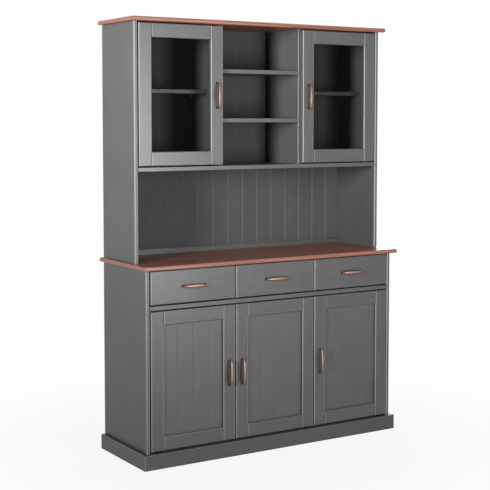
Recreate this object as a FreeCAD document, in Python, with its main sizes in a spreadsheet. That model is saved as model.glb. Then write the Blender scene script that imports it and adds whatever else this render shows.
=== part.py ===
import FreeCAD, Part
import os
import re
import Sketcher

# Tall kitchen dresser: a base with three drawers over three framed doors, and a hutch on its worktop
# with an open niche, two glazed doors and an open centre bay. X runs to the right, Y to the back and
# Z up, from the middle of the footprint on the floor. All sizes are in millimetres.

driving_sizes = {
    # Whole dresser
    "overall_width": 1314,
    "overall_depth": 426,
    "overall_height": 1870,
    "side_overhang": 19,
    "front_overhang": 26,
    "base_height": 846,
    "hutch_depth": 303,
    "niche_height": 383,
    "plinth_height": 64,
    # Boards and panels
    "board": 18,
    "plinth_board": 18,
    "back_thickness": 9,
    "back_rebate": 9,
    "back_board_width": 79.5,
    "niche_first_board": 63,
    "hutch_first_board": 27.3,
    "groove_width": 5,
    "groove_depth": 2.5,
    "niche_rail_height": 18,
    "niche_rail_depth": 15,
    "niche_shadow_height": 4,
    "niche_shadow_depth": 11,
    "board_round": 6,
    "edge_round": 4,
    "deck_round": 2,
    # Doors
    "gap": 4.5,
    "door_thickness": 22,
    "stile_width": 60,
    "rail_width": 60,
    "slot_depth": 9,
    "panel_recess": 12,
    "panel_thickness": 7,
    "panel_board_width": 76,
    "panel_groove_width": 3,
    "panel_groove_depth": 1.2,
    "glass_recess": 11,
    "glass_thickness": 4,
    "infill_play": 0.5,
    "hutch_door_cover": 6,
    "divider_setback": 6,
    # Pivot hinges and catches
    "pivot_inset": 12,
    "pivot_setback": 10,
    "pivot_radius": 3,
    "pivot_clearance": 0.05,
    "washer_width": 10,
    "end_play": 0.2,
    "leaf_length": 44,
    "leaf_width": 12,
    "leaf_thickness": 2.5,
    "leaf_end": 8,
    "catch_length": 46,
    "catch_height": 14,
    "catch_depth": 15,
    "catch_edge": 35,
    "strike_length": 38,
    "strike_height": 10,
    "strike_thickness": 1.5,
    # Handles
    "handle_length": 120,
    "handle_projection": 24,
    "handle_middle_width": 14,
    "handle_end_width": 8,
    "handle_thickness": 6.5,
    "handle_leg": 8,
    "handle_bend": 20,
    # Drawers
    "drawer_height": 141,
    "drawer_back_space": 39,
    "drawer_side": 14,
    "drawer_side_height": 110,
    "drawer_lift": 10,
    "drawer_gap": 1.5,
    "drawer_bottom": 5,
    "drawer_bottom_lift": 8,
    "drawer_bottom_slot": 6,
    "runner_height": 14,
    "runner_thickness": 8.5,
    "runner_rise": 58,
    "runner_setback": 6,
    "runner_slot_depth": 7.5,
    "runner_play": 0.3,
    # Shelves, their levels as shares of the clear height round them, and their angle brackets
    "centre_shelf_low_share": 0.309,
    "centre_shelf_high_share": 0.661,
    "hutch_shelf_share": 0.516,
    "base_shelf_share": 0.478,
    "hutch_shelf_setback": 96,
    "base_shelf_setback": 59,
    "shelf_play": 1,
    "bracket_inset": 25,
    "bracket_width": 9,
    "bracket_drop": 12,
    "bracket_ledge": 9,
    "bracket_sheet": 2,
}

# Three doors, drawers and hutch bays share the clear width
bays = 3
# Vertices nearer than this count as lying in the same plane
tiny = 0.001

doc = FreeCAD.newDocument("tall_sideboard")
sheet = doc.addObject("Spreadsheet::Sheet", "Sizes")
for row, (word, number) in enumerate(driving_sizes.items(), start=1):
    sheet.set(f"A{row}", word)
    sheet.set(f"B{row}", str(number))
    sheet.setAlias(f"B{row}", word)
doc.recompute()

nodes = []
zero = "0"
both_ways = (("left", -1), ("right", 1))
towards_front = FreeCAD.Rotation(FreeCAD.Vector(1, 0, 0), 90)
lengthwise = FreeCAD.Rotation()
upright = FreeCAD.Rotation(FreeCAD.Vector(0, 1, 0), 90)


def formula(words):
    """A sum of size names as an expression on the sheet."""
    return re.sub(r"[a-z_]+", lambda found: f"Sizes.{found.group()}", words)


def size(word):
    """The number that the sheet holds under a name."""
    return float(getattr(sheet, word))


def span(low, high, way):
    """A pair of planes as given, or mirrored to the left of the middle."""
    return (low, high) if way > 0 else (f"-({high})", f"-({low})")


def reach(face, length, way):
    """A pair of planes that starts at a face and goes to the right or to the left of it."""
    return (face, f"({face}) + {length}") if way > 0 else (f"({face}) - ({length})", face)


def box(name, x, y, z):
    """A square-edged block between three pairs of planes."""
    block = doc.addObject("Part::Box", name)
    for axis, side, (low, high) in zip("xyz", ("Length", "Width", "Height"), (x, y, z)):
        block.setExpression(f"Placement.Base.{axis}", formula(low))
        block.setExpression(side, formula(f"({high}) - ({low})"))
    return block


def rod(name, radius, start, length, turn=None):
    """A round bar from a starting point, upright unless it is turned."""
    bar = doc.addObject("Part::Cylinder", name)
    bar.setExpression("Radius", formula(radius))
    bar.setExpression("Height", formula(length))
    if turn:
        bar.Placement.Rotation = turn
    for axis, place in zip("xyz", start):
        bar.setExpression(f"Placement.Base.{axis}", formula(place))
    return bar


def cut(name, base, tools):
    """The base less all the tools."""
    tool = tools[0]
    if len(tools) > 1:
        tool = fuse(f"{name}_tools", tools)
    result = doc.addObject("Part::Cut", name)
    result.Base = base
    result.Tool = tool
    return result


def fuse(name, shapes):
    """Several overlapping shapes as one solid."""
    result = doc.addObject("Part::MultiFuse", name)
    result.Shapes = shapes
    return result


def common(name, base, tool):
    """What two shapes have in common."""
    result = doc.addObject("Part::Common", name)
    result.Base = base
    result.Tool = tool
    return result


def group(name, pieces):
    """Separate solids that share one node."""
    result = doc.addObject("Part::Compound", name)
    result.Links = pieces
    return result


def keep(piece):
    """Put a finished sub-part on the list of files."""
    nodes.append(piece)
    return piece


def front_face(edge, whole):
    """Edges all round the front."""
    return edge.YMax - whole.YMin < tiny


def front_upright(edge, whole):
    """The upright edges of the front."""
    return front_face(edge, whole) and edge.ZLength > tiny


def front_lengthwise(edge, whole):
    """The level edges of the front."""
    return front_face(edge, whole) and edge.XLength > tiny


def front_above_floor(edge, whole):
    """Edges of the front other than the one on the floor."""
    return front_face(edge, whole) and edge.ZMax > whole.ZMin + tiny


def top_lengthwise(edge, whole):
    """The edges of the top that run from front to back."""
    return edge.YLength > tiny and edge.ZMin > whole.ZMin + tiny


def level_but_back(edge, whole):
    """The level edges of the front and the sides."""
    return edge.ZLength < tiny and whole.YMax - edge.YMin > tiny


def rounded(name, base, radius, chosen, room=None):
    """The base with its chosen edges rounded over, by no more than the room at its thinnest side."""
    doc.recompute()
    whole = base.Shape.BoundBox
    if room is None:
        room = min(whole.XLength, whole.YLength, whole.ZLength) / 2
    amount = min(radius, room - tiny)
    soft = doc.addObject("Part::Fillet", name)
    soft.Base = base
    soft.Edges = [(number, amount, amount) for number, edge in enumerate(base.Shape.Edges, start=1)
                  if chosen(edge.BoundBox, whole)]
    return soft


# Planes that several boards share
half = "(overall_width / 2 - side_overhang)"
inner = "(overall_width / 2 - side_overhang - board)"
back = "(overall_depth / 2)"
panel_face = "(overall_depth / 2 - back_thickness)"
base_front = "(front_overhang - overall_depth / 2)"
door_back = f"({base_front} + door_thickness)"
hutch_front = "(overall_depth / 2 - hutch_depth)"
hutch_door_back = f"({hutch_front} + door_thickness)"
floor_under = "(plinth_height - board)"
floor_top = "plinth_height"
worktop_under = "(base_height - board)"
deck_top = f"({worktop_under} - drawer_height - 2 * gap)"
deck_under = f"({deck_top} - board)"
niche_top = "(base_height + niche_height)"
hutch_floor = f"({niche_top} + board)"
hutch_ceiling = "(overall_height - board)"
back_joint = f"({niche_top} + board / 2)"
door_width = f"((2 * {inner} - ({bays} + 1) * gap) / {bays})"
bay_line = f"(({door_width} + gap) / 2)"
divider_line = f"({inner} / {bays})"
between_sides = (f"-{inner}", inner)
rebated = (f"-({inner} + back_rebate)", f"{inner} + back_rebate")
clear_width = size("overall_width") - 2 * (size("side_overhang") + size("board"))


def level(share, low, high):
    """The height of a shelf's underside, as a share of the clear height between two boards."""
    return f"({low} + {share} * ({high} - {low}))"


def rectangle(sketch, width, height):
    """A rectangle from the sketch's origin, drawn as a unit square that two sizes then set."""
    corners = [FreeCAD.Vector(0, 0), FreeCAD.Vector(1, 0), FreeCAD.Vector(1, 1), FreeCAD.Vector(0, 1)]
    for number, corner in enumerate(corners):
        sketch.addGeometry(Part.LineSegment(corner, corners[(number + 1) % len(corners)]))
    for number in range(len(corners)):
        sketch.addConstraint(Sketcher.Constraint("Coincident", number, 2, (number + 1) % len(corners), 1))
        sketch.addConstraint(Sketcher.Constraint("Vertical" if number % 2 else "Horizontal", number))
    sketch.addConstraint(Sketcher.Constraint("Coincident", 0, 1, -1, 1))
    across = sketch.addConstraint(Sketcher.Constraint("DistanceX", 0, 1, 0, 2, 1))
    sketch.setExpression(f"Constraints[{across}]", formula(width))
    upwards = sketch.addConstraint(Sketcher.Constraint("DistanceY", 1, 1, 1, 2, 1))
    sketch.setExpression(f"Constraints[{upwards}]", formula(height))


def vee(sketch, middle, width, depth):
    """A V on the sketch's X axis, drawn as a unit triangle that its place, width and depth then set."""
    points = [FreeCAD.Vector(0, 0), FreeCAD.Vector(1, 0), FreeCAD.Vector(0, 1)]
    places = (f"({middle}) - {width} / 2", f"({middle}) + {width} / 2", middle)
    for number, point in enumerate(points):
        sketch.addGeometry(Part.LineSegment(point, points[(number + 1) % len(points)]))
    for number in range(len(points)):
        sketch.addConstraint(Sketcher.Constraint("Coincident", number, 2, (number + 1) % len(points), 1))
    for number in (0, 1):
        sketch.addConstraint(Sketcher.Constraint("PointOnObject", number, 1, -1))
    for number, place in enumerate(places):
        along = sketch.addConstraint(Sketcher.Constraint("DistanceX", -1, 1, number, 1, 1))
        sketch.setExpression(f"Constraints[{along}]", formula(place))
    down = sketch.addConstraint(Sketcher.Constraint("DistanceY", -1, 1, 2, 1, 1))
    sketch.setExpression(f"Constraints[{down}]", formula(depth))


def grooved_panel(name, x, y, z, groove, first_groove, board_width, grooves):
    """A panel of narrow boards: a slab with an upright V groove in its front at each board joint."""
    body = doc.addObject("PartDesign::Body", name)
    for axis, (low, high) in zip("xyz", (x, y, z)):
        body.setExpression(f"Placement.Base.{axis}", formula(low))
    origin = {feature.Role: feature for feature in body.Origin.OriginFeatures}
    width, thickness, height = (f"({high}) - ({low})" for low, high in (x, y, z))
    sketches = []
    for use in ("outline", "vee"):
        sketch = body.newObject("Sketcher::SketchObject", f"{name}_{use}")
        sketch.AttachmentSupport = [(origin["XY_Plane"], "")]
        sketch.MapMode = "FlatFace"
        sketches.append(sketch)
    rectangle(sketches[0], width, thickness)
    vee(sketches[1], first_groove, f"{groove}_width", f"{groove}_depth")

    slab = body.newObject("PartDesign::Pad", f"{name}_slab")
    slab.Profile = sketches[0]
    slab.setExpression("Length", formula(height))
    doc.recompute()
    plain_volume = slab.Shape.Volume
    pocket = body.newObject("PartDesign::Pocket", f"{name}_groove")
    pocket.Profile = sketches[1]
    pocket.Type = "ThroughAll"
    pocket.Reversed = True
    doc.recompute()
    pattern = body.newObject("PartDesign::LinearPattern", f"{name}_grooves")
    pattern.Originals = [pocket]
    pattern.Direction = (origin["X_Axis"], [""])
    pattern.Mode = "Spacing"
    pattern.setExpression("Offset", formula(board_width))
    pattern.Occurrences = grooves
    body.Tip = pattern
    doc.recompute()
    assert body.Shape.Volume < plain_volume - tiny, f"{name} has no grooves"
    return body


# Doors: name, left and right edges, boards below and above, front plane, and the side that is hinged,
# where 1 is a left-hand hinge that the door extends to the right of, and -1 a right-hand one
outer_edge = f"{inner} - gap"
hutch_door_edge = f"{divider_line} + board / 2 - hutch_door_cover"
doors = (
    ("hutch_door_left", f"-({outer_edge})", f"-({hutch_door_edge})",
     hutch_floor, hutch_ceiling, hutch_front, 1),
    ("hutch_door_right", hutch_door_edge, outer_edge,
     hutch_floor, hutch_ceiling, hutch_front, -1),
    ("base_door_left", f"-({outer_edge})", f"-{bay_line} - gap / 2",
     floor_top, deck_under, base_front, 1),
    ("base_door_centre", f"gap / 2 - {bay_line}", f"{bay_line} - gap / 2",
     floor_top, deck_under, base_front, -1),
    ("base_door_right", f"{bay_line} + gap / 2", outer_edge,
     floor_top, deck_under, base_front, -1),
)

# Pivot hinges: a leaf with a washer and a pin in each door edge, and a bored leaf in the board that the pin
# turns in
hinge_pockets = {}
frame_leaves = []
door_leaves = {}
for name, left, right, under, over, front, hand in doors:
    edge = left if hand > 0 else right
    pivot = f"(({edge}) + {hand} * pivot_inset)"
    pivot_y = f"({front} + pivot_setback)"
    leaf_x = reach(f"({pivot} - {hand} * leaf_end)", "leaf_length", hand)
    leaf_y = (f"{pivot_y} - leaf_width / 2", f"{pivot_y} + leaf_width / 2")
    for end, face, way in (("lower", under, -1), ("upper", over, 1)):
        leaf = f"{name}_{end}"
        door_edge = f"(({face}) - {way} * gap)"
        frame_z = reach(face, "leaf_thickness", way)
        door_z = reach(door_edge, "leaf_thickness", -way)
        pin_length = "(gap + leaf_thickness - end_play)"
        pin_z = reach(door_edge, pin_length, way)
        hinge_pockets.setdefault(face, []).append(box(f"{leaf}_frame_pocket", leaf_x, leaf_y, frame_z))
        hinge_pockets.setdefault(name, []).append(box(f"{leaf}_door_pocket", leaf_x, leaf_y, door_z))
        bore = rod(f"{leaf}_bore", "pivot_radius + pivot_clearance", (pivot, pivot_y, frame_z[0]),
                   "leaf_thickness")
        frame_leaf = box(f"{leaf}_frame_blank", leaf_x, leaf_y, frame_z)
        frame_leaves.append(cut(f"{leaf}_frame_leaf", frame_leaf, [bore]))
        door_leaves.setdefault(name, []).append(fuse(f"{leaf}_door_leaf", [
            box(f"{leaf}_door_blank", leaf_x, leaf_y, door_z),
            box(f"{leaf}_washer", (f"{pivot} - washer_width / 2", f"{pivot} + washer_width / 2"),
                (f"{pivot_y} - washer_width / 2", f"{pivot_y} + washer_width / 2"),
                reach(door_edge, "(gap - end_play)", way)),
            rod(f"{leaf}_pin", "pivot_radius", (pivot, pivot_y, pin_z[0]), pin_length),
        ]))


# Plinth boards wrap the foot of the base on three sides, the front board covering the ends of the others
plinth_edge = f"({half} + plinth_board)"
plinth_z = (zero, "plinth_height")
plinth_blank = box("plinth_front_blank", (f"-{plinth_edge}", plinth_edge),
                   (f"{base_front} - plinth_board", base_front), plinth_z)
keep(rounded("plinth_front", plinth_blank, size("edge_round"), front_above_floor))
for side, way in both_ways:
    blank = box(f"plinth_{side}_blank", span(half, plinth_edge, way), (base_front, back), plinth_z)
    keep(rounded(f"plinth_{side}", blank, size("edge_round"), top_lengthwise))


def carcass_side(name, way, front, z):
    """An outer side: its front edge is rounded over and its back is rebated for the back panel."""
    blank = box(f"{name}_blank", span(inner, half, way), (front, back), z)
    soft = rounded(f"{name}_rounded", blank, size("board_round"), front_upright)
    rebate = box(f"{name}_rebate", span(inner, f"{inner} + back_rebate", way), (panel_face, back), z)
    return keep(cut(name, soft, [rebate]))


def soft_board(name, x, y, z, chosen):
    """A board with the chosen edges of its front eased."""
    return rounded(name, box(f"{name}_blank", x, y, z), size("deck_round"), chosen)


# Base carcass: two sides, floor, deck under the drawers, one tall and two short dividers, back panel
for side, way in both_ways:
    carcass_side(f"base_side_{side}", way, base_front, (zero, worktop_under))
floor_blank = box("base_floor_blank", between_sides, (base_front, panel_face), (floor_under, floor_top))
keep(cut("base_floor", floor_blank, hinge_pockets[floor_top]))
deck_soft = soft_board("drawer_deck_rounded", between_sides, (base_front, panel_face),
                       (deck_under, deck_top), front_lengthwise)
keep(cut("drawer_deck", deck_soft, hinge_pockets[deck_under]))
base_divider_x = (f"{bay_line} - board / 2", f"{bay_line} + board / 2")
keep(box("base_divider", base_divider_x, (f"{door_back} + divider_setback", panel_face),
         (floor_top, deck_under)))
keep(group("drawer_dividers", [
    box(f"drawer_divider_{side}", span(*base_divider_x, way), (f"{door_back} + drawer_gap", panel_face),
        (deck_top, worktop_under))
    for side, way in both_ways]))
keep(box("base_back", rebated, (panel_face, back), (floor_under, worktop_under)))

# Worktop: a stained board with every level edge but the back ones rounded over
worktop_x = ("-overall_width / 2", "overall_width / 2")
worktop_blank = box("worktop_blank", worktop_x, (f"-{back}", back), (worktop_under, "base_height"))
keep(rounded("worktop", worktop_blank, size("board_round"), level_but_back))

# Hutch carcass: two sides, two dividers, a floor over the open niche and an overhanging top board
hutch_divider_x = (f"{divider_line} - board / 2", f"{divider_line} + board / 2")
for side, way in both_ways:
    carcass_side(f"hutch_side_{side}", way, hutch_front, ("base_height", hutch_ceiling))
    keep(soft_board(f"hutch_divider_{side}", span(*hutch_divider_x, way), (hutch_door_back, panel_face),
                    (hutch_floor, hutch_ceiling), front_upright))
hutch_floor_soft = soft_board("hutch_floor_rounded", between_sides, (hutch_front, panel_face),
                              (niche_top, hutch_floor), front_lengthwise)
keep(cut("hutch_floor", hutch_floor_soft, hinge_pockets[hutch_floor]))
hutch_top_blank = box("hutch_top_blank", worktop_x, (f"{hutch_front} - front_overhang", back),
                      (hutch_ceiling, "overall_height"))
hutch_top_soft = rounded("hutch_top_rounded", hutch_top_blank, size("board_round"), level_but_back)
keep(cut("hutch_top", hutch_top_soft, hinge_pockets[hutch_ceiling]))

# Centre shelves: two boards fixed between the hutch dividers
centre_shelves = []
for place in ("low", "high"):
    under = level(f"centre_shelf_{place}_share", hutch_floor, hutch_ceiling)
    centre_shelves.append(soft_board(
        f"centre_shelf_{place}", (f"-({hutch_divider_x[0]})", hutch_divider_x[0]),
        (hutch_door_back, panel_face), (under, f"{under} + board"), front_lengthwise))
keep(group("centre_shelves", centre_shelves))

# Loose shelves behind the doors, each on four angle brackets: name, left and right uprights, front, level.
# Only those behind glass have eased edges.
hutch_shelf_y = (f"{hutch_door_back} + hutch_shelf_setback", panel_face)
hutch_shelf_under = level("hutch_shelf_share", hutch_floor, hutch_ceiling)
base_shelf_y = (f"{door_back} + base_shelf_setback", panel_face)
base_shelf_under = level("base_shelf_share", floor_top, deck_under)
loose_shelves = {
    "hutch_shelves": (
        ("left", f"-{inner}", f"-({hutch_divider_x[1]})", hutch_shelf_y, hutch_shelf_under),
        ("right", hutch_divider_x[1], inner, hutch_shelf_y, hutch_shelf_under),
    ),
    "base_shelves": (
        ("wide", f"-{inner}", base_divider_x[0], base_shelf_y, base_shelf_under),
        ("narrow", base_divider_x[1], inner, base_shelf_y, base_shelf_under),
    ),
}
brackets = []
for node, boards in loose_shelves.items():
    shelves = []
    for side, left, right, (front, rear), under in boards:
        shelf = f"{node}_{side}"
        planes = (f"{left} + shelf_play", f"{right} - shelf_play"), (front, rear), (under, f"{under} + board")
        glazed = node == "hutch_shelves"
        shelves.append(soft_board(shelf, *planes, front_lengthwise) if glazed else box(shelf, *planes))
        for face, way in ((left, 1), (right, -1)):
            for y in (f"{front} + bracket_inset", f"{rear} - bracket_inset"):
                bracket = f"{shelf}_bracket_{len(brackets)}"
                bracket_y = (f"{y} - bracket_width / 2", f"{y} + bracket_width / 2")
                plate = box(f"{bracket}_plate", reach(face, "bracket_sheet", way), bracket_y,
                            (f"{under} - bracket_drop", under))
                ledge = box(f"{bracket}_ledge", reach(face, "bracket_ledge", way), bracket_y,
                            (f"{under} - bracket_sheet", under))
                brackets.append(fuse(bracket, [plate, ledge]))
    keep(group(node, shelves))
keep(group("shelf_brackets", brackets))

# Hutch back: narrow boards above the hutch floor, and again in the niche above a rail with a shadow line
panel_width = clear_width + 2 * size("back_rebate")
niche_rail_top = "(base_height + niche_rail_height + niche_shadow_height)"
for name, low, high, first in (("hutch_back", back_joint, hutch_ceiling, "hutch_first_board"),
                               ("niche_back", niche_rail_top, back_joint, "niche_first_board")):
    beyond_first = panel_width - size(first) - size("groove_width")
    grooves = int(beyond_first // size("back_board_width")) + 1
    keep(grooved_panel(name, rebated, (panel_face, back), (low, high), "groove", first, "back_board_width",
                       grooves))
rail_front = f"({back} - niche_rail_depth)"
rail_blank = box("niche_rail_blank", between_sides, (rail_front, back), ("base_height", niche_rail_top))
rail_shadow = box("niche_rail_shadow", between_sides, (rail_front, f"{rail_front} + niche_shadow_depth"),
                  ("base_height + niche_rail_height", niche_rail_top))
keep(cut("niche_rail", rail_blank, [rail_shadow]))


def bow_handle(name, x, y, z, turn):
    """A bow handle: a bent bar seen from the side, and a lens seen from the front."""
    across = ("-handle_middle_width / 2", "handle_middle_width / 2")
    bent = []
    for face, end, out, bend in (
            ("outer", "(handle_length / 2)", "handle_projection", size("handle_bend")),
            ("inner", "(handle_length / 2 - handle_leg)", "(handle_projection - handle_thickness)",
             size("handle_bend") - size("handle_thickness"))):
        block = box(f"{name}_{face}_block", (f"-{end}", end), (f"-{out}", zero), across)
        doc.recompute()
        room = min(block.Shape.BoundBox.XLength / 2, block.Shape.BoundBox.YLength)
        bent.append(rounded(f"{name}_{face}", block, bend, front_upright, room))
    bar = cut(f"{name}_bent", bent[0], [bent[1]])
    swell = "((handle_middle_width - handle_end_width) / 2)"
    lens_radius = f"(((handle_length / 2) ^ 2 + {swell} ^ 2) / (2 * {swell}))"
    for label, side, sign in ((f"{name}_tapered", "lower", ""), (name, "upper", "-")):
        middle = f"{sign}({lens_radius} - handle_middle_width / 2)"
        lens = rod(f"{name}_{side}_lens", lens_radius, (zero, zero, middle), "handle_projection",
                   towards_front)
        bar = common(label, bar, lens)
    bar.Placement.Rotation = turn
    for axis, place in zip("xyz", (x, y, z)):
        bar.setExpression(f"Placement.Base.{axis}", formula(place))
    return keep(bar)


def framed_door(name, x, z, front, hand, infill):
    """Two stiles and two rails, slotted for a panel or pane, with a handle on the free stile."""
    (left, right), (low, high) = x, z
    slot_y = (f"{front} + {infill}_recess", f"{front} + {infill}_recess + {infill}_thickness")
    depth = (front, f"{front} + door_thickness")
    opening_x = (f"{left} + stile_width", f"{right} - stile_width")
    opening_z = (f"{low} + rail_width", f"{high} - rail_width")
    slotted_x = (f"{opening_x[0]} - slot_depth", f"{opening_x[1]} + slot_depth")
    slotted_z = (f"{opening_z[0]} - slot_depth", f"{opening_z[1]} + slot_depth")
    members = []
    for side, edges, slot in (("left", (left, opening_x[0]), (slotted_x[0], opening_x[0])),
                              ("right", (opening_x[1], right), (opening_x[1], slotted_x[1]))):
        stile = f"{name}_stile_{side}"
        blank = box(f"{stile}_blank", edges, depth, z)
        soft = rounded(f"{stile}_rounded", blank, size("edge_round"), front_face)
        cuts = [box(f"{stile}_slot", slot, slot_y, z)]
        if (side == "left") == (hand > 0):
            cuts += hinge_pockets[name]
        members.append(cut(stile, soft, cuts))
    for end, edges, slot in (("lower", (low, opening_z[0]), (slotted_z[0], opening_z[0])),
                             ("upper", (opening_z[1], high), (opening_z[1], slotted_z[1]))):
        rail = f"{name}_rail_{end}"
        blank = box(f"{rail}_blank", opening_x, depth, edges)
        soft = rounded(f"{rail}_rounded", blank, size("edge_round"), front_lengthwise)
        tenoned = fuse(f"{rail}_tenoned", [soft, box(f"{rail}_tenons", slotted_x, slot_y, edges)])
        members.append(cut(rail, tenoned, [box(f"{rail}_slot", slotted_x, slot_y, slot)]))
    keep(group(f"{name}_frame", members))
    infill_x = (f"{slotted_x[0]} + infill_play", f"{slotted_x[1]} - infill_play")
    infill_z = (f"{slotted_z[0]} + infill_play", f"{slotted_z[1]} - infill_play")
    if infill == "glass":
        keep(box(f"{name}_glass", infill_x, slot_y, infill_z))
    else:
        each_side = int((door_opening / 2 - size("panel_groove_width")) // size("panel_board_width"))
        first = f"(({infill_x[1]}) - ({infill_x[0]})) / 2 - {each_side} * panel_board_width"
        keep(grooved_panel(f"{name}_panel", infill_x, slot_y, infill_z, "panel_groove", first,
                           "panel_board_width", 2 * each_side + 1))
    free_stile = f"({right}) - stile_width / 2" if hand > 0 else f"({left}) + stile_width / 2"
    bow_handle(f"{name}_handle", free_stile, front, f"(({low}) + ({high})) / 2", upright)


# Doors, with a magnet catch behind the free top corner of each
door_opening = (clear_width - (bays + 1) * size("gap")) / bays - 2 * size("stile_width")
catches = []
for name, left, right, under, over, front, hand in doors:
    framed_door(name, (left, right), (f"{under} + gap", f"{over} - gap"), front, hand,
                "glass" if name.startswith("hutch") else "panel")
    behind = f"{front} + door_thickness"
    free_edge = right if hand > 0 else left
    middle = f"(({free_edge}) - {hand} * (catch_edge + catch_length / 2))"
    strike = box(f"{name}_strike", (f"{middle} - strike_length / 2", f"{middle} + strike_length / 2"),
                 (behind, f"{behind} + strike_thickness"),
                 (f"{over} - gap - strike_height", f"{over} - gap - end_play"))
    keep(group(f"{name}_fittings", door_leaves[name] + [strike]))
    catch_front = f"{behind} + strike_thickness + end_play"
    catches.append(box(f"{name}_catch", (f"{middle} - catch_length / 2", f"{middle} + catch_length / 2"),
                       (catch_front, f"{catch_front} + catch_depth"), (f"{over} - catch_height", over)))
keep(group("pivot_leaves", frame_leaves))
keep(group("magnet_catches", catches))

# Drawers: a front, two sides and a back round a thin bottom, hung on runners in slots of the sides
drawers = (
    ("drawer_left", (f"-({outer_edge})", f"-{bay_line} - gap / 2"),
     (f"-{inner}", f"-({base_divider_x[1]})")),
    ("drawer_centre", (f"gap / 2 - {bay_line}", f"{bay_line} - gap / 2"),
     (f"-({base_divider_x[0]})", base_divider_x[0])),
    ("drawer_right", (f"{bay_line} + gap / 2", outer_edge),
     (base_divider_x[1], inner)),
)
front_low = f"({deck_top} + gap)"
front_high = f"({worktop_under} - gap)"
box_low = f"({front_low} + drawer_lift)"
box_end = f"({panel_face} - drawer_back_space)"
bottom_z = (f"{box_low} + drawer_bottom_lift", f"{box_low} + drawer_bottom_lift + drawer_bottom")
runner_z = (f"{box_low} + runner_rise", f"{box_low} + runner_rise + runner_height")
runner_slot_z = (f"{runner_z[0]} - runner_play", f"{runner_z[1]} + runner_play")
runners = []
for name, (left, right), (bay_left, bay_right) in drawers:
    outside = (f"{bay_left} + drawer_gap", f"{bay_right} - drawer_gap")
    inside = (f"{outside[0]} + drawer_side", f"{outside[1]} - drawer_side")
    bottom_x = (f"{inside[0]} - drawer_bottom_slot", f"{inside[1]} + drawer_bottom_slot")
    front_blank = box(f"{name}_front_blank", (left, right), (base_front, door_back), (front_low, front_high))
    front_soft = rounded(f"{name}_front_rounded", front_blank, size("edge_round"), front_face)
    front_slot = box(f"{name}_front_slot", bottom_x, (f"{door_back} - drawer_bottom_slot", door_back),
                     bottom_z)
    keep(cut(f"{name}_front", front_soft, [front_slot]))
    length = (door_back, box_end)
    height = (box_low, f"{box_low} + drawer_side_height")
    walls = []
    for side, way, face, inside_face, carrier in (("left", 1, outside[0], inside[0], bay_left),
                                                  ("right", -1, outside[1], inside[1], bay_right)):
        wall = f"{name}_side_{side}"
        blank = box(f"{wall}_blank", reach(face, "drawer_side", way), length, height)
        runner_slot = box(f"{wall}_runner_slot", reach(face, "runner_slot_depth", way), length, runner_slot_z)
        bottom_slot = box(f"{wall}_bottom_slot", reach(inside_face, "drawer_bottom_slot", -way), length,
                          bottom_z)
        walls.append(cut(wall, blank, [runner_slot, bottom_slot]))
        runners.append(box(f"{name}_runner_{side}", reach(carrier, "runner_thickness", way),
                           (f"{door_back} + runner_setback", box_end), runner_z))
    walls.append(box(f"{name}_rear", inside, (f"{box_end} - drawer_side", box_end), (bottom_z[1], height[1])))
    keep(group(f"{name}_box", walls))
    keep(box(f"{name}_bottom", bottom_x, (f"{door_back} - drawer_bottom_slot", box_end), bottom_z))
    bow_handle(f"{name}_handle", f"(({left}) + ({right})) / 2", base_front,
               f"({front_low} + {front_high}) / 2", lengthwise)
keep(group("drawer_runners", runners))

# Every object has to be sound before a file is written
doc.recompute()
failed = [thing.Label for thing in doc.Objects if "Invalid" in thing.State or "Error" in thing.State]
assert not failed, f"failed objects: {failed}"
os.makedirs("parts", exist_ok=True)
for piece in nodes:
    assert not piece.Shape.isNull() and piece.Shape.isValid(), f"{piece.Label} has no sound shape"
for piece in nodes:
    piece.Shape.exportStep(f"parts/{piece.Label}.step")
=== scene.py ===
import math

import bmesh
import bpy
from mathutils import Matrix, Vector


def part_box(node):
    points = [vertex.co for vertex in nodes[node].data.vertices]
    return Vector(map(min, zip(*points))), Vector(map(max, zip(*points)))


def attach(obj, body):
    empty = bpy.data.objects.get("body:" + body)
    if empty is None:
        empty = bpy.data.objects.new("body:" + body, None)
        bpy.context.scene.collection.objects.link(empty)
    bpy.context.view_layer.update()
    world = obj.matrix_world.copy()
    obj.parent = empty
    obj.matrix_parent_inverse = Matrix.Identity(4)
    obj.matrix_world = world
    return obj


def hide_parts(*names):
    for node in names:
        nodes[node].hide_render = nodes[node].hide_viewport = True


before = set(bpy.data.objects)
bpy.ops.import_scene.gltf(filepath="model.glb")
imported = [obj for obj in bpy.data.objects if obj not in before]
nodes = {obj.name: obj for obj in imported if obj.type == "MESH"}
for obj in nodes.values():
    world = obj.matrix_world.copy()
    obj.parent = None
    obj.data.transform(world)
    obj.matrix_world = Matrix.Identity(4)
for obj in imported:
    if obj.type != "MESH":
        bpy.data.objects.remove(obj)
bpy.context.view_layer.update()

# Plinth: three planed pine boards wrapped round the foot of the base and glued to it, the front board over
# the ends of the side boards. They are sprayed with the same dark grey satin paint as the whole carcass.


def linear(hex_colour):
    """An sRGB hex colour as linear red, green, blue and alpha."""
    shares = [int(hex_colour[place:place + 2], 16) / 255 for place in (1, 3, 5)]
    return [share / 12.92 if share <= 0.04045 else ((share + 0.055) / 1.055) ** 2.4 for share in shares] + [1]


def add(owner, kind, inputs, **settings):
    """Add a node with its settings, and set or link its inputs, by name or by number."""
    node = owner.node_tree.nodes.new("ShaderNode" + kind)
    for word, value in settings.items():
        setattr(node, word, value)
    for socket, value in inputs.items():
        if isinstance(value, bpy.types.NodeSocket):
            owner.node_tree.links.new(value, node.inputs[socket])
        else:
            node.inputs[socket].default_value = value
    return node


def finish(names, material):
    """Give CAD nodes a material."""
    for name in names:
        for place in nodes[name].material_slots:
            place.material = material


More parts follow.
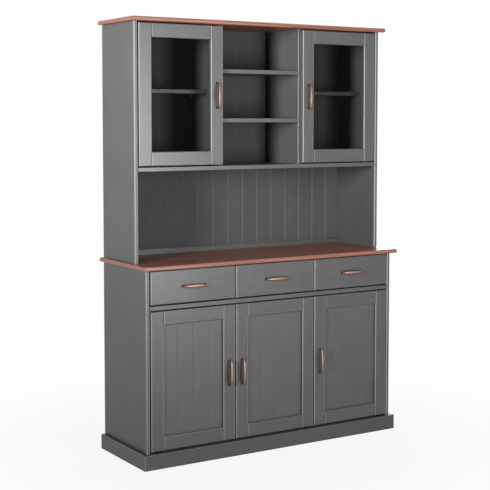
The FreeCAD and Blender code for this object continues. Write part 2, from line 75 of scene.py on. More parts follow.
# Paint on pine: a satin coat that fills most of the grain, so the eye sees one dull grey with faint streaks along
# each board, soft spray clouds and a broad sheen. Upright rounded edges are painted lighter: a painted highlight
# for the light their roundings catch. Streaks are really about 2 mm wide and pores far finer. They are drawn 7 mm
# and 1.6 mm wide so that they show.
streak_width = 0.007
streak_length = 0.22
cloud_size = 0.16
pore_size = 0.0016
pore_share = 0.3
paint_relief = 0.0003
gloss_swing = 0.03
arris_slant = 0.55
arris_reach = 0.43
joint_line = 0.0026
across = {"X": (streak_length, streak_width, streak_width), "Y": (streak_width, streak_length, streak_width),
          "Z": (streak_width, streak_width, streak_length)}


def painted_pine(name, along, dull, sheen, edge_highlight, opening=None):
    """Grey paint with streaks along one axis, and a painted highlight, a lighter grey, on upright rounded edges.
    Round a frame's opening (middle, half width, level, half height) the streaks run along X between the stiles,
    and a dark joint with a painted highlight just to its right shows where a rail meets a stile."""
    paint = bpy.data.materials.new(name)
    paint.use_nodes = True
    shader = paint.node_tree.nodes["Principled BSDF"]
    link = paint.node_tree.links.new
    coordinates = add(paint, "TexCoord", {})
    place = coordinates.outputs["Object"]
    stretched = add(paint, "Mapping", {"Vector": place, "Scale": [1 / size for size in across[along]]})
    streaks = add(paint, "TexNoise", {"Vector": stretched.outputs[0], "Scale": 1, "Detail": 3}).outputs[0]
    if opening:
        middle, half, level, reach = opening
        turned = add(paint, "Mapping", {"Vector": place, "Scale": [1 / size for size in across["X"]]})
        crossing = add(paint, "TexNoise", {"Vector": turned.outputs[0], "Scale": 1, "Detail": 3}).outputs[0]
        sides = add(paint, "SeparateXYZ", {0: place})
        between = add(paint, "Math", {0: sides.outputs[0], 1: middle, 2: half}, operation="COMPARE")
        streaks = add(paint, "Mix", {0: between.outputs[0], 2: streaks, 3: crossing}).outputs[0]
    clouds = add(paint, "TexNoise", {"Vector": place, "Scale": 1 / cloud_size, "Detail": 2}).outputs[0]
    pores = add(paint, "TexNoise", {"Vector": place, "Scale": 1 / pore_size, "Detail": 1}).outputs[0]
    both = add(paint, "Math", {0: streaks, 1: clouds}, operation="ADD").outputs[0]
    share = add(paint, "MapRange", {0: both, 1: 0.7, 2: 1.3}).outputs[0]
    greys = {0: share, 6: linear("#454545"), 7: linear("#4c4c4c")}
    tone = add(paint, "Mix", greys, data_type="RGBA").outputs[2]
    # Upright rounded edges, whose normals lean between the X and Y axes, get a painted highlight: a lighter grey.
    facing = add(paint, "SeparateXYZ", {0: coordinates.outputs["Normal"]}).outputs[0]
    slant = add(paint, "Math", {0: facing}, operation="ABSOLUTE").outputs[0]
    arris_highlight = add(paint, "Math", {0: slant, 1: arris_slant, 2: arris_reach}, operation="COMPARE").outputs[0]
    tone = add(paint, "Mix", {0: arris_highlight, 6: tone, 7: linear(edge_highlight)}, data_type="RGBA").outputs[2]
    duller = {0: streaks, 1: 0.3, 2: 0.7, 3: dull - gloss_swing, 4: dull + gloss_swing}
    gloss = add(paint, "MapRange", duller).outputs[0]
    relief = add(paint, "Math", {0: pores, 1: pore_share, 2: streaks}, operation="MULTIPLY_ADD").outputs[0]
    bumps = add(paint, "Bump", {"Height": relief, "Strength": 0.06, "Distance": paint_relief}).outputs[0]
    if opening:
        beside = add(paint, "Math", {0: sides.outputs[2], 1: level, 2: reach}, operation="COMPARE").outputs[0]
        # Each joint gets a dark hairline, and a painted highlight, a lighter grey, just to its right.
        for spot, colour in ((middle, "#2c2c2c"), (middle + joint_line, "#7c7c7c")):
            off = add(paint, "Math", {0: sides.outputs[0], 1: spot}, operation="SUBTRACT").outputs[0]
            away = add(paint, "Math", {0: off}, operation="ABSOLUTE").outputs[0]
            seam = add(paint, "Math", {0: away, 1: half, 2: joint_line / 2}, operation="COMPARE").outputs[0]
            line = add(paint, "Math", {0: seam, 1: beside}, operation="SUBTRACT", use_clamp=True).outputs[0]
            tone = add(paint, "Mix", {0: line, 6: tone, 7: linear(colour)}, data_type="RGBA").outputs[2]
    link(tone, shader.inputs["Base Color"])
    link(gloss, shader.inputs["Roughness"])
    link(bumps, shader.inputs["Normal"])
    shader.inputs["Specular IOR Level"].default_value = sheen
    return paint


# The last colour given to each paint is its painted highlight on upright rounded edges.
paint_along = {}
for axis in "XYZ":
    paint_name = "satin_paint_on_pine_" + axis.lower()
    paint_along[axis] = painted_pine(paint_name, axis, dull=0.38, sheen=0.35, edge_highlight="#7c7c7c")
front_paint = painted_pine("satin_paint_on_fronts", "X", dull=0.34, sheen=0.5, edge_highlight="#7a7a7a")
finish(["plinth_front"], paint_along["X"])
finish(["plinth_left", "plinth_right"], paint_along["Y"])

# Base carcass: two sides down to the floor, a bottom board, the deck between drawers and doors, one full divider
# and short dividers between the drawers, all 18 mm glued pine board, doweled together and painted.
finish(["base_side_left", "base_side_right", "base_divider", "drawer_dividers"], paint_along["Z"])
finish(["base_floor", "drawer_deck"], front_paint)

# Drawer runners: planed pine battens, left bare, screwed to the sides and dividers. A groove in each drawer side
# slides along them.

# Bare pine: planed and left unfinished, so the eye sees cream wood with honey lines of latewood and hardly any
# shine. The lines are really 2 to 4 mm wide, and are drawn 9 mm wide so that they show.
grain_width = 0.009
grain_length = 0.3
grain_relief = 0.0003


def bare_pine(name, stretch):
    """Unfinished pine, with lines that run along the longer sizes of the stretch."""
    pine = bpy.data.materials.new(name)
    pine.use_nodes = True
    shader = pine.node_tree.nodes["Principled BSDF"]
    link = pine.node_tree.links.new
    place = add(pine, "TexCoord", {}).outputs["Object"]
    stretched = add(pine, "Mapping", {"Vector": place, "Scale": [1 / size for size in stretch]})
    lines = add(pine, "TexNoise", {"Vector": stretched.outputs[0], "Scale": 1, "Detail": 4, "Distortion": 0.6})
    clouds = add(pine, "TexNoise", {"Vector": place, "Scale": 1 / cloud_size, "Detail": 2}).outputs[0]
    share = add(pine, "MapRange", {0: lines.outputs[0], 1: 0.38, 2: 0.66}).outputs[0]
    woods = {0: share, 6: linear("#dcbf92"), 7: linear("#b98d58")}
    late = add(pine, "Mix", woods, data_type="RGBA").outputs[2]
    tone = add(pine, "Mix", {0: clouds, 6: late, 7: linear("#d3ae7c")}, data_type="RGBA").outputs[2]
    gloss = add(pine, "MapRange", {0: share, 3: 0.72, 4: 0.6}).outputs[0]
    bumps = add(pine, "Bump", {"Height": share, "Strength": 0.3, "Distance": grain_relief}).outputs[0]
    link(tone, shader.inputs["Base Color"])
    link(gloss, shader.inputs["Roughness"])
    link(bumps, shader.inputs["Normal"])
    return pine


pine_upright = bare_pine("bare_pine_boards_on_edge", (grain_length, grain_length, grain_width))
pine_flat = bare_pine("bare_pine_boards_laid_flat", (grain_width, grain_length, grain_length))
finish(["drawer_runners"], pine_upright)

# Worktop and hutch top: edge-glued pine boards with rounded edges, stained reddish brown and lacquered. The base
# sides carry the worktop, and the hutch sides carry the top.

# Stained pine under lacquer: a warm reddish brown with darker lines along each stave, a small change of tone from
# stave to stave and a soft shine. The lines are drawn 8 mm wide so that they show.
stave_width = 0.068
stain_grain_width = 0.008
stain_grain_length = 0.35
stain = bpy.data.materials.new("lacquered_stained_pine")
stain.use_nodes = True
shader = stain.node_tree.nodes["Principled BSDF"]
place = add(stain, "TexCoord", {}).outputs["Object"]
parts = add(stain, "SeparateXYZ", {0: place})
stave = add(stain, "Math", {0: parts.outputs[1], 1: stave_width}, operation="DIVIDE").outputs[0]
number = add(stain, "Math", {0: stave}, operation="FLOOR").outputs[0]
each = add(stain, "TexWhiteNoise", {"W": number}, noise_dimensions="1D").outputs[0]
slide = add(stain, "CombineXYZ", {0: each}).outputs[0]
moved = add(stain, "VectorMath", {0: place, 1: slide}).outputs[0]
stretch = (stain_grain_length, stain_grain_width, stain_grain_width)
stretched = add(stain, "Mapping", {"Vector": moved, "Scale": [1 / size for size in stretch]}).outputs[0]
lines = add(stain, "TexNoise", {"Vector": stretched, "Scale": 1, "Detail": 5, "Distortion": 0.8}).outputs[0]
clouds = add(stain, "TexNoise", {"Vector": moved, "Scale": 1 / cloud_size, "Detail": 2}).outputs[0]
share = add(stain, "MapRange", {0: lines, 1: 0.36, 2: 0.68}).outputs[0]
woods = {0: share, 6: linear("#8e5d4e"), 7: linear("#6a3d30")}
late = add(stain, "Mix", woods, data_type="RGBA").outputs[2]
lift = add(stain, "MapRange", {0: each, 3: 0, 4: 0.35}).outputs[0]
tone = add(stain, "Mix", {0: lift, 6: late, 7: linear("#7d4a3b")}, data_type="RGBA").outputs[2]
gloss = add(stain, "MapRange", {0: clouds, 3: 0.32, 4: 0.44}).outputs[0]
bumps = add(stain, "Bump", {"Height": share, "Strength": 0.15, "Distance": grain_relief}).outputs[0]
stain.node_tree.links.new(tone, shader.inputs["Base Color"])
stain.node_tree.links.new(gloss, shader.inputs["Roughness"])
stain.node_tree.links.new(bumps, shader.inputs["Normal"])
finish(["worktop", "hutch_top"], stain)

# Hutch carcass: two sides, two dividers, a floor board, the open shelves between the dividers and the rail along
# the foot of the niche, in the same painted pine board as the base.
finish(["hutch_side_left", "hutch_side_right", "hutch_divider_left", "hutch_divider_right"], paint_along["Z"])
finish(["hutch_floor", "centre_shelves", "niche_rail"], front_paint)

# Backs: tongue-and-groove pine boards that slide into rebates of the sides. Their room side is painted matt, and
# the wall side is left bare, where each board shows a pale brown of its own and soft upright grain.
back_board_width = 0.0795
back_paint = painted_pine("matt_paint_on_back_boards", "Z", dull=0.7, sheen=0.05, edge_highlight="#5e5e5e")
shader = back_paint.node_tree.nodes["Principled BSDF"]
painted = shader.inputs["Base Color"].links[0].from_socket
coordinates = add(back_paint, "TexCoord", {})
facing = add(back_paint, "SeparateXYZ", {0: coordinates.outputs["Normal"]}).outputs[1]
rear = add(back_paint, "Math", {0: facing, 1: 0.5}, operation="GREATER_THAN").outputs[0]
sides = add(back_paint, "SeparateXYZ", {0: coordinates.outputs["Object"]}).outputs[0]
board = add(back_paint, "Math", {0: sides, 1: back_board_width}, operation="DIVIDE").outputs[0]
number = add(back_paint, "Math", {0: board}, operation="FLOOR").outputs[0]
each = add(back_paint, "TexWhiteNoise", {"W": number}, noise_dimensions="1D").outputs[0]
slide = add(back_paint, "CombineXYZ", {2: each}).outputs[0]
moved = add(back_paint, "VectorMath", {0: coordinates.outputs["Object"], 1: slide}).outputs[0]
stretch = (grain_width, grain_width, grain_length)
stretched = add(back_paint, "Mapping", {"Vector": moved, "Scale": [1 / size for size in stretch]})
grain = {"Vector": stretched.outputs[0], "Scale": 1, "Detail": 4, "Distortion": 0.4}
lines = add(back_paint, "TexNoise", grain)
share = add(back_paint, "MapRange", {0: lines.outputs[0], 1: 0.3, 2: 0.75}).outputs[0]
woods = {0: share, 6: linear("#ccb088"), 7: linear("#b08d60")}
late = add(back_paint, "Mix", woods, data_type="RGBA").outputs[2]
lift = add(back_paint, "MapRange", {0: each, 3: 0, 4: 0.5}).outputs[0]
bare = add(back_paint, "Mix", {0: lift, 6: late, 7: linear("#c2a070")}, data_type="RGBA").outputs[2]
tone = add(back_paint, "Mix", {0: rear, 6: painted, 7: bare}, data_type="RGBA").outputs[2]
back_paint.node_tree.links.new(tone, shader.inputs["Base Color"])
finish(["base_back", "niche_back", "hutch_back"], back_paint)

# Rebate blocks: two small pine blocks glued into the rebates of the hutch sides at the ends of the niche rail,
# where no back board fills them. They are painted with the sides and keep the light out.
block_fit = 0.0002
block_round = 0.0008
rail_low, rail_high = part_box("niche_rail")
panel_low, panel_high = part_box("niche_back")
wide = panel_high.x - rail_high.x
deep = panel_high.y - panel_low.y
tall = rail_high.z - rail_low.z
bpy.ops.object.select_all(action="DESELECT")
for side, name in ((-1, "rebate_block_left"), (1, "rebate_block_right")):
    bpy.ops.mesh.primitive_cube_add(size=1)
    block = bpy.context.object
    block.name = name
    bpy.ops.object.mode_set(mode="EDIT")
    bpy.ops.transform.resize(value=(wide - 2 * block_fit, deep - 2 * block_fit, tall - 2 * block_fit))
    spot = (side * (rail_high.x + wide / 2), panel_low.y + deep / 2, rail_low.z + tall / 2)
    bpy.ops.transform.translate(value=spot)
    bpy.ops.mesh.bevel(offset=block_round, segments=2, affect="EDGES")
    bpy.ops.object.mode_set(mode="OBJECT")
    block.data.materials.append(paint_along["Z"])
    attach(block, "carcass")

# Loose shelves: painted pine boards behind the doors. Each lies on four angle brackets of nickel-plated steel,
# and one pan-head screw holds each bracket to its upright.
finish(["base_shelves", "hutch_shelves"], front_paint)

# Nickel plate on steel: a warm pale metal with a hazy shine, cloudy from handling.
plating_haze = 0.004
steel = bpy.data.materials.new("nickel_plated_steel")
steel.use_nodes = True
shader = steel.node_tree.nodes["Principled BSDF"]
place = add(steel, "TexCoord", {}).outputs["Object"]
haze = add(steel, "TexNoise", {"Vector": place, "Scale": 1 / plating_haze, "Detail": 3}).outputs[0]
tone = add(steel, "Mix", {0: haze, 6: linear("#b4b0a6"), 7: linear("#cdc9c0")}, data_type="RGBA").outputs[2]
gloss = add(steel, "MapRange", {0: haze, 3: 0.24, 4: 0.4}).outputs[0]
steel.node_tree.links.new(tone, shader.inputs["Base Color"])
steel.node_tree.links.new(gloss, shader.inputs["Roughness"])
shader.inputs["Metallic"].default_value = 1
finish(["shelf_brackets"], steel)


def pick(piece, wanted):
    """Select the faces that a test picks, in edit mode."""
    bpy.ops.mesh.select_mode(type="FACE")
    bpy.ops.mesh.select_all(action="DESELECT")
    shape = bmesh.from_edit_mesh(piece.data)
    for face in shape.faces:
        face.select_set(wanted(face))
    bmesh.update_edit_mesh(piece.data)


def in_recess(face):
    """Whether a face lies in the middle of the screw's top."""
    return face.normal.z > 0.99 and max(corner.co.xy.length for corner in face.verts) < recess_reach


head_radius = 0.004
head_height = 0.0024
head_round = 0.0011
recess_rim = 0.0008
recess_reach = 0.0022
recess_depth = 0.0012
slot_half = 0.0005
soft_edges = math.radians(40)
bpy.ops.object.select_all(action="DESELECT")
bpy.ops.mesh.primitive_cylinder_add(vertices=20, radius=head_radius, depth=head_height,
                                    location=(0, 0, head_height / 2))
screw = bpy.context.object
bpy.ops.object.transform_apply(location=True)
bpy.ops.object.mode_set(mode="EDIT")
pick(screw, lambda face: face.normal.z > 0.9)
bpy.ops.mesh.bevel(offset=head_round, segments=3, affect="EDGES")
pick(screw, lambda face: face.normal.z > 0.99)
bpy.ops.mesh.inset(thickness=recess_rim)
for axis in (Vector((1, 0, 0)), Vector((0, 1, 0))):
    for side in (-slot_half, slot_half):
        pick(screw, in_recess)
        bpy.ops.mesh.bisect(plane_co=axis * side, plane_no=axis)
pick(screw, lambda face: in_recess(face) and min(map(abs, face.calc_center_median().xy)) < slot_half)
bpy.ops.mesh.extrude_region_move(TRANSFORM_OT_translate={"value": (0, 0, -recess_depth)})
bpy.ops.object.mode_set(mode="OBJECT")
bpy.ops.object.shade_smooth_by_angle(angle=soft_edges)
screw.data.materials.append(steel)


def place_copies(pattern, name, body, moves):
    """Copies of a pattern at their places, joined in one piece that rides on a body."""
    bpy.ops.object.select_all(action="DESELECT")
    for move in moves:
        copy = pattern.copy()
        copy.data = pattern.data.copy()
        copy.data.transform(move)
        bpy.context.collection.objects.link(copy)
        copy.select_set(True)
        bpy.context.view_layer.objects.active = copy
    if len(moves) > 1:
        bpy.ops.object.join()
    piece = bpy.context.object
    piece.name = name
    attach(piece, body)
    return piece


mm = 0.001
bracket_sheet = 2
bracket_screw_drop = 7
small_screw = Matrix.Scale(0.62, 4)
turn_right = Matrix.Rotation(math.radians(90), 4, "Y")
turn_left = Matrix.Rotation(math.radians(-90), 4, "Y")
# Brackets of the hutch and of the base, in millimetres: each upright's face and the way it looks, the places from
# front to back, and the shelves' underside
shelf_rows = [(((-620, 1), (-215.667, -1), (215.667, 1), (620, -1)), (53, 179), 1559.18),
              (((-620, 1), (196.917, -1), (214.917, 1), (620, -1)), (-81, 179), 348.888)]
moves = []
for uprights, depths, under in shelf_rows:
    for face, way in uprights:
        for depth in depths:
            spot = Vector((face + way * bracket_sheet, depth, under - bracket_screw_drop)) * mm
            moves.append(Matrix.Translation(spot) @ (turn_right if way > 0 else turn_left) @ small_screw)
place_copies(screw, "shelf_bracket_screws", "carcass", moves)

# Doors: two stiles and two rails, tenoned together, round a panel of narrow boards or a pane of glass. They are
# painted as the carcass is, with the streaks along each member. A dark hairline shows each joint, with a painted
# highlight just to its right, both drawn 2.6 mm wide so that they show.
stile_width = 0.06
panel_paint = painted_pine("satin_paint_on_panels", "Z", dull=0.4, sheen=0.5, edge_highlight="#545454")
doors = ["hutch_door_left", "hutch_door_right", "base_door_left", "base_door_centre", "base_door_right"]
for door in doors:
    low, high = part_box(door + "_frame")
    middle = (low + high) / 2
    half = (high - low) / 2
    opening = (middle.x, half.x - stile_width, middle.z, half.z - stile_width)
    paint_name = "satin_paint_on_" + door
    frame_paint = painted_pine(paint_name, "Z", dull=0.34, sheen=0.5, edge_highlight="#7a7a7a", opening=opening)
    finish([door + "_frame"], frame_paint)
    if door.startswith("base"):
        finish([door + "_panel"], panel_paint)

# Panes: 4 mm float glass, clear with a faint green cast and a few wiped smears, let into slots of the hutch
# doors' frames. So thin a pane hardly bends the view, so it is drawn as a faint see-through skin, with no mirror
# of the white room because the real panes show none.
smear_size = 0.15
glass = bpy.data.materials.new("float_glass")
glass.use_nodes = True
shader = glass.node_tree.nodes["Principled BSDF"]
place = add(glass, "TexCoord", {}).outputs["Object"]
smears = add(glass, "TexNoise", {"Vector": place, "Scale": 1 / smear_size, "Detail": 1}).outputs[0]
gloss = add(glass, "MapRange", {0: smears, 1: 0.4, 2: 0.7, 3: 0.05, 4: 0.1}).outputs[0]
tone = add(glass, "Mix", {0: smears, 6: linear("#0e100f"), 7: linear("#181b1a")}, data_type="RGBA").outputs[2]
glass.node_tree.links.new(tone, shader.inputs["Base Color"])
glass.node_tree.links.new(gloss, shader.inputs["Roughness"])
shader.inputs["Alpha"].default_value = 0.15
shader.inputs["Specular IOR Level"].default_value = 0
finish(["hutch_door_left_glass", "hutch_door_right_glass"], glass)

# Pivot hinges and strikes: leaves of blackened steel let into the door edges and the boards above and below, and
# strike plates for the catches. They are dull and dark, so they hardly show in the gaps.
burnished = bpy.data.materials.new("blackened_steel")
burnished.use_nodes = True
shader = burnished.node_tree.nodes["Principled BSDF"]
place = add(burnished, "TexCoord", {}).outputs["Object"]
haze = add(burnished, "TexNoise", {"Vector": place, "Scale": 1 / plating_haze, "Detail": 3}).outputs[0]
blacks = {0: haze, 6: linear("#1c1b1a"), 7: linear("#2a2826")}
tone = add(burnished, "Mix", blacks, data_type="RGBA").outputs[2]
gloss = add(burnished, "MapRange", {0: haze, 3: 0.5, 4: 0.65}).outputs[0]
burnished.node_tree.links.new(tone, shader.inputs["Base Color"])
burnished.node_tree.links.new(gloss, shader.inputs["Roughness"])
shader.inputs["Metallic"].default_value = 1
finish(["pivot_leaves"] + [door + "_fittings" for door in doors], burnished)

# Magnet catches: brown moulded shells with an ear at each end, screwed up under the deck and the hutch top. Two
# steel pole plates look out of each mouth, and pull on the door's strike.

# Moulded plastic: a plain dull brown with a fine grit from the mould, drawn 1 mm wide so that it shows.
grit_size = 0.001
grit_relief = 0.0002
plastic = bpy.data.materials.new("moulded_catch_plastic")
plastic.use_nodes = True
shader = plastic.node_tree.nodes["Principled BSDF"]
place = add(plastic, "TexCoord", {}).outputs["Object"]
grit = add(plastic, "TexNoise", {"Vector": place, "Scale": 1 / grit_size, "Detail": 2}).outputs[0]
tone = add(plastic, "Mix", {0: grit, 6: linear("#3a302a"), 7: linear("#463a33")}, data_type="RGBA").outputs[2]
bumps = add(plastic, "Bump", {"Height": grit, "Strength": 0.2, "Distance": grit_relief}).outputs[0]
plastic.node_tree.links.new(tone, shader.inputs["Base Color"])
plastic.node_tree.links.new(bumps, shader.inputs["Normal"])
shader.inputs["Roughness"].default_value = 0.5

shell_width = 0.03
shell_height = 0.014
shell_front = 0.0015
shell_back = 0.015
ear_length = 0.008
ear_thickness = 0.003
mouth_rim = 0.002
mouth_depth = 0.002
shell_round = 0.0006
bpy.ops.object.select_all(action="DESELECT")
bpy.ops.mesh.primitive_cube_add(size=1)
catch = bpy.context.object
bpy.ops.object.mode_set(mode="EDIT")
bpy.ops.transform.resize(value=(shell_width, shell_back - shell_front, shell_height))
bpy.ops.transform.translate(value=(0, (shell_back + shell_front) / 2, -shell_height / 2))
bpy.ops.mesh.bisect(plane_co=(0, 0, -ear_thickness), plane_no=(0, 0, 1))
for side in (-1, 1):
    pick(catch, lambda face: face.normal.x * side > 0.9 and face.calc_center_median().z > -ear_thickness)
    bpy.ops.mesh.extrude_region_move(TRANSFORM_OT_translate={"value": (side * ear_length, 0, 0)})
pick(catch, lambda face: face.normal.y < -0.9 and face.calc_center_median().z < -ear_thickness)
bpy.ops.mesh.inset(thickness=mouth_rim)
bpy.ops.mesh.extrude_region_move(TRANSFORM_OT_translate={"value": (0, mouth_depth, 0)})
bpy.ops.object.mode_set(mode="OBJECT")
soft = catch.modifiers.new("softened", "BEVEL")
soft.width = shell_round
soft.segments = 2
bpy.ops.object.modifier_apply(modifier=soft.name)
bpy.ops.object.shade_smooth_by_angle(angle=soft_edges)
catch.data.materials.append(plastic)

pole_width = 0.022
pole_depth = 0.0036
pole_thickness = 0.0012
pole_back = 0.002
pole_round = 0.0003
bpy.ops.object.select_all(action="DESELECT")
bpy.ops.mesh.primitive_cube_add(size=1)
pole = bpy.context.object
bpy.ops.object.mode_set(mode="EDIT")
bpy.ops.transform.resize(value=(pole_width, pole_depth, pole_thickness))
bpy.ops.transform.translate(value=(0, pole_back, 0))
bpy.ops.mesh.bevel(offset=pole_round, segments=2, affect="EDGES")
bpy.ops.object.mode_set(mode="OBJECT")
pole.data.materials.append(steel)

mouth_middle = 8.5
pole_apart = 1.9
ear_screw_out = 19
ear_screw_back = 8.2
upside_down = Matrix.Rotation(math.pi, 4, "X")
# Where each shell touches the board above, at its front edge, in millimetres
catch_spots = [(-267.667, -66.3, 1852), (267.667, -66.3, 1852), (-266.167, -163.3, 660),
               (-145.667, -163.3, 660), (266.167, -163.3, 660)]
shells, poles, screws = [], [], []
for spot in catch_spots:
    corner = Vector(spot) * mm
    shells.append(Matrix.Translation(corner))
    for way in (-1, 1):
        poles.append(Matrix.Translation(corner + Vector((0, 0, way * pole_apart - mouth_middle)) * mm))
        ear = corner + Vector((way * ear_screw_out, ear_screw_back, 0)) * mm - Vector((0, 0, ear_thickness))
        screws.append(Matrix.Translation(ear) @ upside_down @ small_screw)
catches = place_copies(catch, "magnet_catch_shells", "carcass", shells)
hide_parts("magnet_catches")
place_copies(pole, "magnet_catch_poles", "carcass", poles)
place_copies(screw, "magnet_catch_screws", "carcass", screws)
bpy.data.objects.remove(catch)
bpy.data.objects.remove(pole)

# Drawers: a solid painted front on a box of bare pine boards, glued and pinned, with a thin bottom let into a
# groove all round.
drawers = ["drawer_left", "drawer_centre", "drawer_right"]
finish([drawer + "_front" for drawer in drawers], front_paint)
finish([drawer + "_box" for drawer in drawers], pine_upright)
finish([drawer + "_bottom" for drawer in drawers], pine_flat)

# Handles: bow handles, cast, copper plated and lacquered. The bar is widest in the middle and bends down to two
# flared feet, and a machine screw from behind holds each foot.

# Antiqued copper plate: the crown and the feet are rubbed to a soft pinkish shine. The bow's flanks and inside,
# which face away from the front, are painted dark brown: partly a dark patina, partly painted shade for the shadow
# under the bow. A vertex attribute marks them.
haze_size = 0.012
copper = bpy.data.materials.new("satin_copper_plate")
copper.use_nodes = True
shader = copper.node_tree.nodes["Principled BSDF"]
place = add(copper, "TexCoord", {}).outputs["Object"]
haze = add(copper, "TexNoise", {"Vector": place, "Scale": 1 / haze_size, "Detail": 4}).outputs[0]
coppers = {0: haze, 6: linear("#7c6156"), 7: linear("#93776c")}
polish = add(copper, "Mix", coppers, data_type="RGBA").outputs[2]
inside = add(copper, "Attribute", {}, attribute_name="tarnish_and_shade").outputs["Fac"]
tone = add(copper, "Mix", {0: inside, 6: polish, 7: linear("#2a1812")}, data_type="RGBA").outputs[2]
gloss = add(copper, "MapRange", {0: inside, 3: 0.5, 4: 0.62}).outputs[0]
copper.node_tree.links.new(tone, shader.inputs["Base Color"])
copper.node_tree.links.new(gloss, shader.inputs["Roughness"])
shader.inputs["Metallic"].default_value = 1
shader.inputs["Coat Weight"].default_value = 0.06
shader.inputs["Coat Roughness"].default_value = 0.3

# Half a handle in millimetres, from the foot to the middle: out from the door, along it, tilt, width, thickness
foot_apart = 52.8
stations = [(0, -foot_apart, 0, 13, 13), (1.2, -foot_apart, 0, 14, 14), (2.6, -foot_apart, 0, 12.4, 12.4),
            (5, -foot_apart, 4, 10.6, 10.2), (8.6, -52.2, 20, 10.2, 9.8), (12.4, -50, 42, 10.6, 9.5),
            (15.4, -46, 61, 11.3, 9.3), (17.6, -40, 74, 12.2, 9.2), (19.2, -32, 81, 13.2, 9.2),
            (20.3, -22, 85, 14.2, 9.3), (20.9, -11, 88, 15, 9.4), (21.1, 0, 90, 15.4, 9.4)]
first_slice = 0.4
crown_edge = 0.82
flank_fade = 0.3
bow_end = 49
bow_fade = 6
out, along, tilt, width, thick = stations[0]
bpy.ops.object.select_all(action="DESELECT")
bpy.ops.mesh.primitive_cylinder_add(vertices=16, radius=0.5, depth=1, rotation=(math.pi / 2, 0, 0))
handle = bpy.context.object
bpy.ops.object.transform_apply(rotation=True)
bpy.ops.object.mode_set(mode="EDIT")
bpy.ops.transform.resize(value=(width * mm, first_slice * mm, thick * mm))
bpy.ops.transform.translate(value=(0, -first_slice / 2 * mm, along * mm))
pick(handle, lambda face: face.normal.y < -0.9)
out = first_slice
for station in stations[1:]:
    step = (0, (out - station[0]) * mm, (station[1] - along) * mm)
    bpy.ops.mesh.extrude_region_move(TRANSFORM_OT_translate={"value": step})
    centre = (0, -station[0] * mm, station[1] * mm)
    bpy.ops.transform.rotate(value=math.radians(station[2] - tilt), orient_axis="X", center_override=centre)
    grow = (station[3] / width, station[4] / thick, station[4] / thick)
    bpy.ops.transform.resize(value=grow, center_override=centre)
    out, along, tilt, width, thick = station
bpy.ops.mesh.delete(type="ONLY_FACE")
bpy.ops.object.mode_set(mode="OBJECT")
twin = handle.modifiers.new("other_half", "MIRROR")
twin.use_axis = (False, False, True)
bpy.ops.object.modifier_apply(modifier=twin.name)
smooth = handle.modifiers.new("smooth_casting", "SUBSURF")
smooth.levels = 2
smooth.render_levels = 2
bpy.ops.object.modifier_apply(modifier=smooth.name)
bpy.ops.object.mode_set(mode="EDIT")
bpy.ops.mesh.select_all(action="SELECT")
bpy.ops.mesh.normals_make_consistent(inside=False)
bpy.ops.object.mode_set(mode="OBJECT")
bpy.ops.object.shade_smooth()
# Vertices that face away from the front, on the bow but not the feet, get the dark patina and painted shade.
tarnish_and_shade = handle.data.attributes.new("tarnish_and_shade", "FLOAT", "POINT")
for corner in handle.data.vertices:
    off_crown = min(1, max(0, (corner.normal.y + crown_edge) / flank_fade))
    off_foot = min(1, max(0, (bow_end * mm - abs(corner.co.z)) / (bow_fade * mm)))
    tarnish_and_shade.data[corner.index].value = off_crown * off_foot
handle.data.materials.append(copper)

face_back = Matrix.Rotation(math.radians(-90), 4, "X")
for leaf in doors + drawers:
    low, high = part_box(leaf + "_handle")
    middle = Vector(((low.x + high.x) / 2, high.y, (low.z + high.z) / 2))
    turned = Matrix.Identity(4) if leaf in doors else turn_right
    bow = place_copies(handle, leaf + "_bow_handle", leaf, [Matrix.Translation(middle) @ turned])
    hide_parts(leaf + "_handle")
    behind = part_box(leaf + ("_frame" if leaf in doors else "_front"))[1].y
    line = Vector((0, 0, 1)) if leaf in doors else Vector((1, 0, 0))
    ends = [Vector((middle.x, behind, middle.z)) + line * way * foot_apart * mm for way in (-1, 1)]
    screws = [Matrix.Translation(end) @ face_back for end in ends]
    place_copies(screw, leaf + "_handle_screws", leaf, screws)
bpy.data.objects.remove(handle)
bpy.data.objects.remove(screw)

# Floor: a plain pale studio floor, wide enough to reach past every view. It keeps the dresser's soft shadow near
# the foot and fades to white further out.
floor_size = 60
fade_start = 0.6
fade_end = 1.8
white_at_foot = 0.9
bpy.ops.object.select_all(action="DESELECT")
bpy.ops.mesh.primitive_plane_add(size=floor_size)
floor = bpy.context.object
floor.name = "studio_floor"
pale = bpy.data.materials.new("pale_studio_floor")
pale.use_nodes = True
shader = pale.node_tree.nodes["Principled BSDF"]
shader.inputs["Base Color"].default_value = linear("#b8b8b8")
shader.inputs["Roughness"].default_value = 0.9
place = add(pale, "TexCoord", {}).outputs["Object"]
distance = add(pale, "VectorMath", {0: place}, operation="LENGTH").outputs["Value"]
fade = {0: distance, 1: fade_start, 2: fade_end, 3: white_at_foot, 4: 1}
white = add(pale, "MapRange", fade).outputs[0]


def seen_directly(owner):
    """1 for rays from the camera, from gloss and through glass, and 0 for the rays that light the dresser."""
    rays = add(owner, "LightPath", {}).outputs
    seen = rays["Is Camera Ray"]
    for other in ("Is Glossy Ray", "Is Transmission Ray"):
        seen = add(owner, "Math", {0: seen, 1: rays[other]}, operation="MAXIMUM").outputs[0]
    return seen


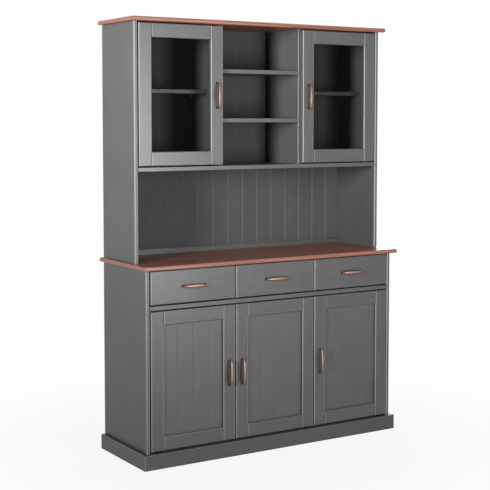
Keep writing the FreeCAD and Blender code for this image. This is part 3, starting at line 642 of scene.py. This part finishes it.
mixed = add(pale, "Math", {0: seen_directly(pale), 1: white}, operation="MULTIPLY").outputs[0]
glow = add(pale, "Emission", {"Strength": 1}).outputs[0]
both = add(pale, "MixShader", {0: mixed, 1: shader.outputs[0], 2: glow}).outputs[0]
pale.node_tree.links.new(both, pale.node_tree.nodes["Material Output"].inputs[0])
floor.data.materials.append(pale)

# Studio light: a soft lamp far out on the left for that side, one in front for the doors and one behind for the
# back, in a dim room that looks white. The left lamp isn't mirrored in gloss, because it would whiten the upper
# doors seen from the right.
room_light = 0.07
world = bpy.data.worlds.new("studio")
world.use_nodes = True
bpy.context.scene.world = world
strength = add(world, "MapRange", {0: seen_directly(world), 3: room_light, 4: 1}).outputs[0]
room = world.node_tree.nodes["Background"]
room.inputs["Color"].default_value = (1, 1, 1, 1)
world.node_tree.links.new(strength, room.inputs["Strength"])


def lamp(name, at, towards, wide, tall, watts, beam=180, mirrored=True):
    """A soft lamp that faces a point, mirrored in gloss or not."""
    light = bpy.data.lights.new(name, "AREA")
    light.shape = "RECTANGLE"
    light.size = wide
    light.size_y = tall
    light.energy = watts
    light.spread = math.radians(beam)
    holder = bpy.data.objects.new(name, light)
    bpy.context.collection.objects.link(holder)
    holder.location = at
    holder.visible_glossy = mirrored
    holder.rotation_euler = (Vector(towards) - Vector(at)).to_track_quat("-Z", "Y").to_euler()


lamp("side_lamp", at=(-4.7, -2.4, 1.9), towards=(0.2, 0, 2.05), wide=1, tall=1.6, watts=48, beam=48,
     mirrored=False)
lamp("front_lamp", at=(0.35, -3.2, 1.15), towards=(-0.6, 0, 1.3), wide=0.9, tall=1.4, watts=40, beam=120)
lamp("back_lamp", at=(2.4, 3, 2.2), towards=(0.1, 0.2, 1), wide=1.4, tall=1.4, watts=90)

# Camera: at the photograph's place, about chest height in front on the left, with a long lens. It looks slightly
# down, and a small shift frames the dresser.
camera_down = math.radians(3.6623)
camera_round = math.radians(-32.066)
bpy.ops.object.camera_add(location=(-2.8416, -4.4682, 1.4427))
camera = bpy.context.object
camera.rotation_euler = (math.pi / 2 - camera_down, 0, camera_round)
camera.data.lens = 86.764
camera.data.sensor_width = 36
camera.data.shift_y = -0.1
bpy.context.scene.camera = camera
bpy.context.scene.view_settings.view_transform = "Standard"
